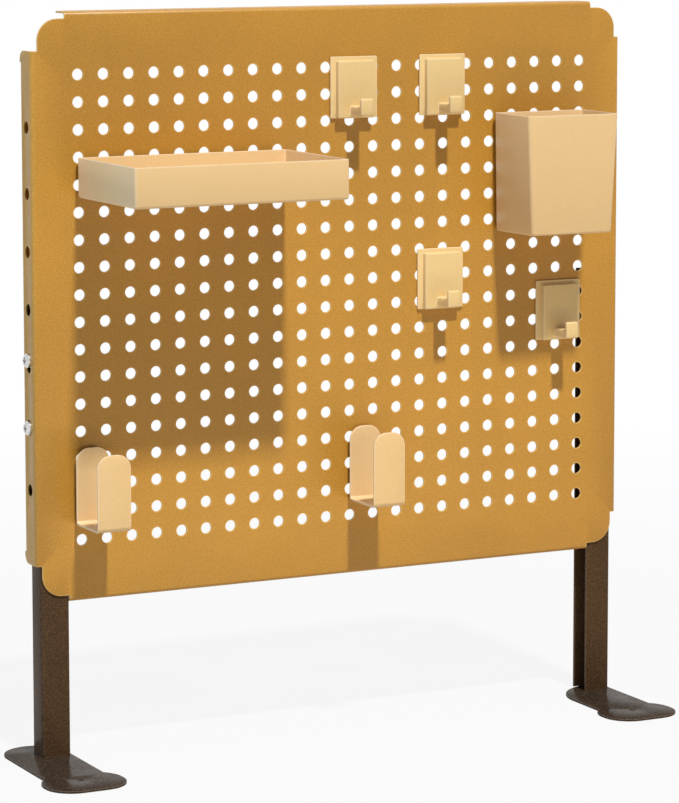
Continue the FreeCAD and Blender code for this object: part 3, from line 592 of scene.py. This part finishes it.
def makeFoot(side, spec):
    node = f"foot_plate_{side}"
    low, high = nodeBox(node)
    middle = (low.x + high.x) / 2
    neck, head, radius = spec["neck"] / 2, spec["headWidth"] / 2, spec["headRadius"]
    # the flare: the head's rear round, cut off where it meets the neck
    bow = low.y + spec["headLength"] - radius
    short = radius - head + neck
    meet = bow + math.sqrt(radius ** 2 - short ** 2)
    tangent = radius * math.tan(math.acos(short / radius) / 2)
    bm = bmesh.new()
    verts = outline(bm, [(middle + x, y, high.z) for x, y in (
        (-head, low.y), (head, low.y), (head, bow + tangent), (neck, meet), (neck, high.y),
        (-neck, high.y), (-neck, meet), (-head, bow + tangent),
    )])
    roundCorners(bm, verts[0:2], radius, spec["toeSteps"])
    flare = [verts[2], verts[7]]
    roundCorners(bm, flare, tangent * spec["nearlyWhole"], spec["flareSteps"])
    if side == "left":
        roundCorners(bm, verts[4:6], neck * spec["nearlyWhole"], spec["heelSteps"])
    else:
        heel, corner = verts[5], verts[4]
        roundCorners(bm, [heel], spec["heelRadius"], spec["heelSteps"])
        roundCorners(bm, [corner], spec["cornerRadius"], spec["cornerSteps"])
    meeting = 0.05  # rounds that meet leave two corners this close together
    bmesh.ops.remove_doubles(bm, verts=bm.verts, dist=meeting)
    bmesh.ops.create_circle(
        bm, segments=spec["holeSides"], radius=spec["holeRadius"], cap_ends=False,
        matrix=Matrix.Translation((middle, low.y + spec["holeFromToe"], high.z)),
    )
    bmesh.ops.triangle_fill(bm, use_beauty=True, edges=bm.edges[:])
    faceOut(bm, lambda centre: True, (0, 0, 1))
    bmesh.ops.solidify(bm, geom=bm.faces[:], thickness=spec["plate"])
    softenEdges(bm, spec["edgeRound"])
    # the feet take the darkened bronze, which is painted shade
    keepPiece(bm, f"{side}Foot", "shadedBronzeGloss", "root", node)


for side in ("left", "right"):
    makeLeg(side, legs)
    makeFoot(side, feet)
print("legs and feet made")


tray = {
    "wall": 1.5, "bend": 2.5, "bendSteps": 4, "cornerRound": 2.5, "cornerSteps": 6,
    "rimRound": 0.45,
}


def openBox(name, node, body, spec, taper=None):
    # a folded open box: a block without its lid, bent edges, then a wall's thickness inwards
    low, high = nodeBox(node)
    bm = bmesh.new()
    faces = boxMesh(bm, low, high)
    lid = max(faces, key=lambda face: face.calc_center_median().z)
    if taper:
        taper(bm, low, high, spec)
    uprights = [edge for edge in bm.edges if runAlong(edge, 2) > touch]
    bmesh.ops.delete(bm, geom=[lid], context="FACES_ONLY")
    roundEdges(bm, uprights, spec["cornerRound"], spec["cornerSteps"])
    foot = [
        edge for edge in foldEdges(bm)
        if max(vert.co.z for vert in edge.verts) < low.z + touch
    ]
    roundEdges(bm, foot, spec["bend"], spec["bendSteps"])
    frontBand = low.y + 8  # a sloping front has its middle behind its rim
    faceOut(bm, lambda centre: centre.y < frontBand, (0, -1, 0))
    bmesh.ops.solidify(bm, geom=bm.faces[:], thickness=spec["wall"])
    softenEdges(bm, spec["rimRound"])
    keepPiece(bm, name, "creamPaint", body, node)


openBox("tray", "tray_box", "tray", tray)
print("tray folded")


penCup = {
    "wall": 1.5, "bend": 2.0, "bendSteps": 4, "cornerRound": 3.5, "cornerSteps": 6,
    "rimRound": 0.45,
    # how far the foot's corners draw in from the sides, and its front edge back
    "backTaper": 1.6, "frontTaper": 5.1, "frontSlope": 1.8,
}


def cupTaper(bm, low, high, spec):
    middle = (low + high) / 2
    for vert in bm.verts:
        if vert.co.z < middle.z:
            front = vert.co.y < middle.y
            inward = -1 if vert.co.x > middle.x else 1
            vert.co.x += inward * (spec["frontTaper"] if front else spec["backTaper"])
            vert.co.y += spec["frontSlope"] if front else 0


openBox("penCup", "pen_cup_box", "pen_cup", penCup, cupTaper)
print("pen cup made")


holder = {
    "sheet": 2, "bend": 4, "bendSteps": 6, "cornerRadius": 12, "cornerSteps": 8,
    "edgeRound": 0.5,
}


def makeHolder(side, spec):
    # a strip folded into a U, with rounded upper corners
    node = f"tablet_holder_{side}"
    low, high = nodeBox(node)
    bm = bmesh.new()
    path = [(high.y, high.z), (high.y, low.z), (low.y, low.z), (low.y, high.z)]
    drawStrip(bm, [(low.x, y, z) for y, z in path], (high.x - low.x, 0, 0))
    top = [vert for vert in bm.verts if vert.co.z > high.z - touch]
    roundCorners(bm, top, spec["cornerRadius"], spec["cornerSteps"])
    roundEdges(bm, foldEdges(bm), spec["bend"], spec["bendSteps"])
    faceOut(bm, lambda centre: centre.y < low.y + touch, (0, -1, 0))
    bmesh.ops.solidify(bm, geom=bm.faces[:], thickness=spec["sheet"])
    softenEdges(bm, spec["edgeRound"])
    keepPiece(
        bm, f"{side}TabletHolder", "creamPaint", f"holder_{side}", node
    )


for side in ("left", "right"):
    makeHolder(side, holder)
print("tablet holders folded")


hook = {
    "plateRadius": 1.5, "plateRound": 0.45, "plateSteps": 4,
    "frontDepth": 5, "frontWall": 1.2, "frontRound": 1.3, "frontSteps": 4,
    # the arm's root reaches into the front, whose wall hides it
    "armWidth": 12, "armHeight": 7.5, "armLift": 3, "armRoot": 0.6,
    "tipHeight": 14.8, "tipThickness": 4, "armRound": 1.5, "armSteps": 3,
}


def makeHook(number, spec):
    body = f"hook_{number}"
    low, high = nodeBox(f"{body}_base")
    bm = bmesh.new()
    boxMesh(bm, low, high)
    corners = [edge for edge in bm.edges if runAlong(edge, 1) > touch]
    roundEdges(bm, corners, spec["plateRadius"], spec["plateSteps"])
    softenEdges(bm, spec["plateRound"])
    keepPiece(bm, f"hook{number}Plate", "hookCream", body, f"{body}_base")

    # the raised front is a shallow cap, open at the back over its magnet
    low, high = nodeBox(f"{body}_front")
    capFront = high.y - spec["frontDepth"]
    bm = bmesh.new()
    faces = boxMesh(bm, (low.x, capFront, low.z), high)
    back = max(faces, key=lambda face: face.calc_center_median().y)
    bmesh.ops.delete(bm, geom=[back], context="FACES_ONLY")
    roundEdges(bm, foldEdges(bm), spec["frontRound"], spec["frontSteps"])
    faceOut(bm, lambda centre: centre.y < capFront + touch, (0, -1, 0))
    bmesh.ops.solidify(bm, geom=bm.faces[:], thickness=spec["frontWall"])

    # arm and upturned tip, drawn from the side and given their width
    middle = (low.x + high.x) / 2
    left, right = middle - spec["armWidth"] / 2, middle + spec["armWidth"] / 2
    bottom = low.z + spec["armLift"]
    armTop, tipTop = bottom + spec["armHeight"], bottom + spec["tipHeight"]
    root, tipBack = capFront + spec["armRoot"], low.y + spec["tipThickness"]
    profile = [
        (root, bottom), (low.y, bottom), (low.y, tipTop), (tipBack, tipTop),
        (tipBack, armTop), (root, armTop),
    ]
    capFaces, capEdges = set(bm.faces), set(bm.edges)
    side = bm.faces.new([bm.verts.new((left, y, z)) for y, z in profile])
    far = newVerts(bmesh.ops.extrude_face_region(bm, geom=[side]))
    bmesh.ops.translate(bm, verts=far, vec=(right - left, 0, 0))
    armFaces = [face for face in bm.faces if face not in capFaces]
    bmesh.ops.recalc_face_normals(bm, faces=armFaces)
    bm.normal_update()
    # every edge of the arm is rounded, apart from those around its root
    armEdges = [
        edge for edge in bm.edges if edge not in capEdges
        and min(vert.co.y for vert in edge.verts) < root - touch
    ]
    roundEdges(bm, armEdges, spec["armRound"], spec["armSteps"])
    keepPiece(bm, f"hook{number}Front", "hookCream", body, f"{body}_front")


for number in (1, 2, 3, 4):
    makeHook(number, hook)
print("hooks made")


# CAD nodes that already have the right shape keep it and get their finish
for name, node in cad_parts.items():
    if "screw" in name or "washer" in name or "nut" in name:
        finish = paints["zincPlate"]
    elif "magnet" in name:
        finish = paints["magnetRubber"]
    else:
        continue
    node.data.materials.clear()
    node.data.materials.append(finish)
print("fasteners and magnets finished")


# stage

studio = {
    "skyColor": (0.90, 1.0, 0.92, 1), "skyLight": 0.09,
    "floorColor": (0.48, 0.48, 0.48, 1), "floorSize": 14.0,
    "floorRoughness": 0.9, "floorSpecular": 0.1,
    # the floor keeps its shadow near the object and fades to white between these distances
    "floorWhite": (0.9, 1.0), "floorFade": (0.7, 1.8),
    "lamps": {
        # power, size, place, colour and whether its reflection shows
        "keyLamp": (1590, (0.6, 0.6), (0.0, -5.7, 10.94), (1.0, 0.985, 0.98), True),
        "stripLamp": (1.05, (0.9, 0.08), (0.1, -0.55, 0.06), (1.0, 0.73, 0.28), True),
        "sideLamp": (26, (1.2, 1.2), (-2.4, -0.05, 0.65), (0.48, 0.66, 1.0), False),
    },
    "aim": (0, 0, 0.38),
}


def whiteRays(tree):
    # one for the camera, for mirrors and for clear things, nought for light that bounces
    rays = newNode(tree, "ShaderNodeLightPath").outputs
    direct = calc(tree, "ADD", rays["Is Camera Ray"], rays["Is Glossy Ray"], clamp=True)
    return calc(tree, "ADD", direct, rays["Is Transmission Ray"], clamp=True)


def blend(tree, factor, plain, white, target):
    mix = newNode(tree, "ShaderNodeMixShader")
    feed(tree, mix.inputs[0], factor)
    feed(tree, mix.inputs[1], plain.outputs[0])
    feed(tree, mix.inputs[2], white.outputs[0])
    feed(tree, target.inputs["Surface"], mix.outputs[0])


def makeWorld(spec):
    world = bpy.data.worlds.new("studio")
    world.use_nodes = True
    bpy.context.scene.world = world
    tree = world.node_tree
    soft = tree.nodes["Background"]
    feed(tree, soft.inputs["Color"], spec["skyColor"])
    feed(tree, soft.inputs["Strength"], spec["skyLight"])
    white = newNode(tree, "ShaderNodeBackground")
    feed(tree, white.inputs["Color"], (1, 1, 1, 1))
    blend(tree, whiteRays(tree), soft, white, tree.nodes["World Output"])


def makeFloor(spec):
    bm = bmesh.new()
    bmesh.ops.create_grid(bm, x_segments=1, y_segments=1, size=spec["floorSize"] / 2)
    mesh = bpy.data.meshes.new("floor")
    bm.to_mesh(mesh)
    bm.free()
    floor = bpy.data.objects.new("floor", mesh)
    bpy.context.scene.collection.objects.link(floor)
    paper, tree, shader = newMaterial("floorPaper")
    feed(tree, shader.inputs["Base Color"], spec["floorColor"])
    feed(tree, shader.inputs["Roughness"], spec["floorRoughness"])
    feed(tree, shader.inputs["Specular IOR Level"], spec["floorSpecular"])
    white = newNode(tree, "ShaderNodeEmission")
    feed(tree, white.inputs["Color"], (1, 1, 1, 1))
    distance = newNode(tree, "ShaderNodeVectorMath", operation="LENGTH")
    coords = newNode(tree, "ShaderNodeTexCoord").outputs["Object"]
    feed(tree, distance.inputs[0], coords)
    fade = remap(tree, distance.outputs["Value"], *spec["floorWhite"], *spec["floorFade"])
    share = calc(tree, "MULTIPLY", whiteRays(tree), fade)
    blend(tree, share, shader, white, tree.nodes["Material Output"])
    mesh.materials.append(paper)


def makeLamps(spec):
    for name, (power, size, place, color, reflected) in spec["lamps"].items():
        lamp = bpy.data.lights.new(name, "AREA")
        lamp.energy = power
        lamp.shape = "RECTANGLE"
        lamp.size, lamp.size_y = size
        lamp.color = color
        stand = bpy.data.objects.new(name, lamp)
        stand.visible_camera = False
        stand.visible_glossy = reflected
        bpy.context.scene.collection.objects.link(stand)
        toward = Vector(spec["aim"]) - Vector(place)
        turn = toward.to_track_quat("-Z", "Y").to_matrix().to_4x4()
        stand.matrix_world = Matrix.Translation(place) @ turn


bpy.context.scene.view_settings.view_transform = "Standard"
makeWorld(studio)
makeFloor(studio)
makeLamps(studio)


view = {
    "place": (-1.3493, -2.6283, 0.7386), "yaw": 27.071, "pitch": 6.607, "roll": -0.056,
    # the lens is given in pixels of an image 803 pixels tall
    "focalPixels": 3482.8, "imageTall": 803, "sensorTall": 36, "shiftDown": 0.15,
    "farthest": 50,
}


def makeCamera(spec):
    data = bpy.data.cameras.new("camera")
    data.sensor_fit = "VERTICAL"
    data.sensor_height = spec["sensorTall"]
    data.lens = spec["focalPixels"] / spec["imageTall"] * data.sensor_height
    data.shift_y = -spec["shiftDown"]
    data.clip_end = spec["farthest"]
    camera = bpy.data.objects.new("camera", data)
    bpy.context.scene.collection.objects.link(camera)
    yaw = Matrix.Rotation(-math.radians(spec["yaw"]), 4, "Z")
    pitch = Matrix.Rotation(math.radians(90 - spec["pitch"]), 4, "X")
    roll = Matrix.Rotation(math.radians(spec["roll"]), 4, "Z")
    camera.matrix_world = Matrix.Translation(spec["place"]) @ yaw @ pitch @ roll
    bpy.context.scene.camera = camera


makeCamera(view)
print("stage and camera set")
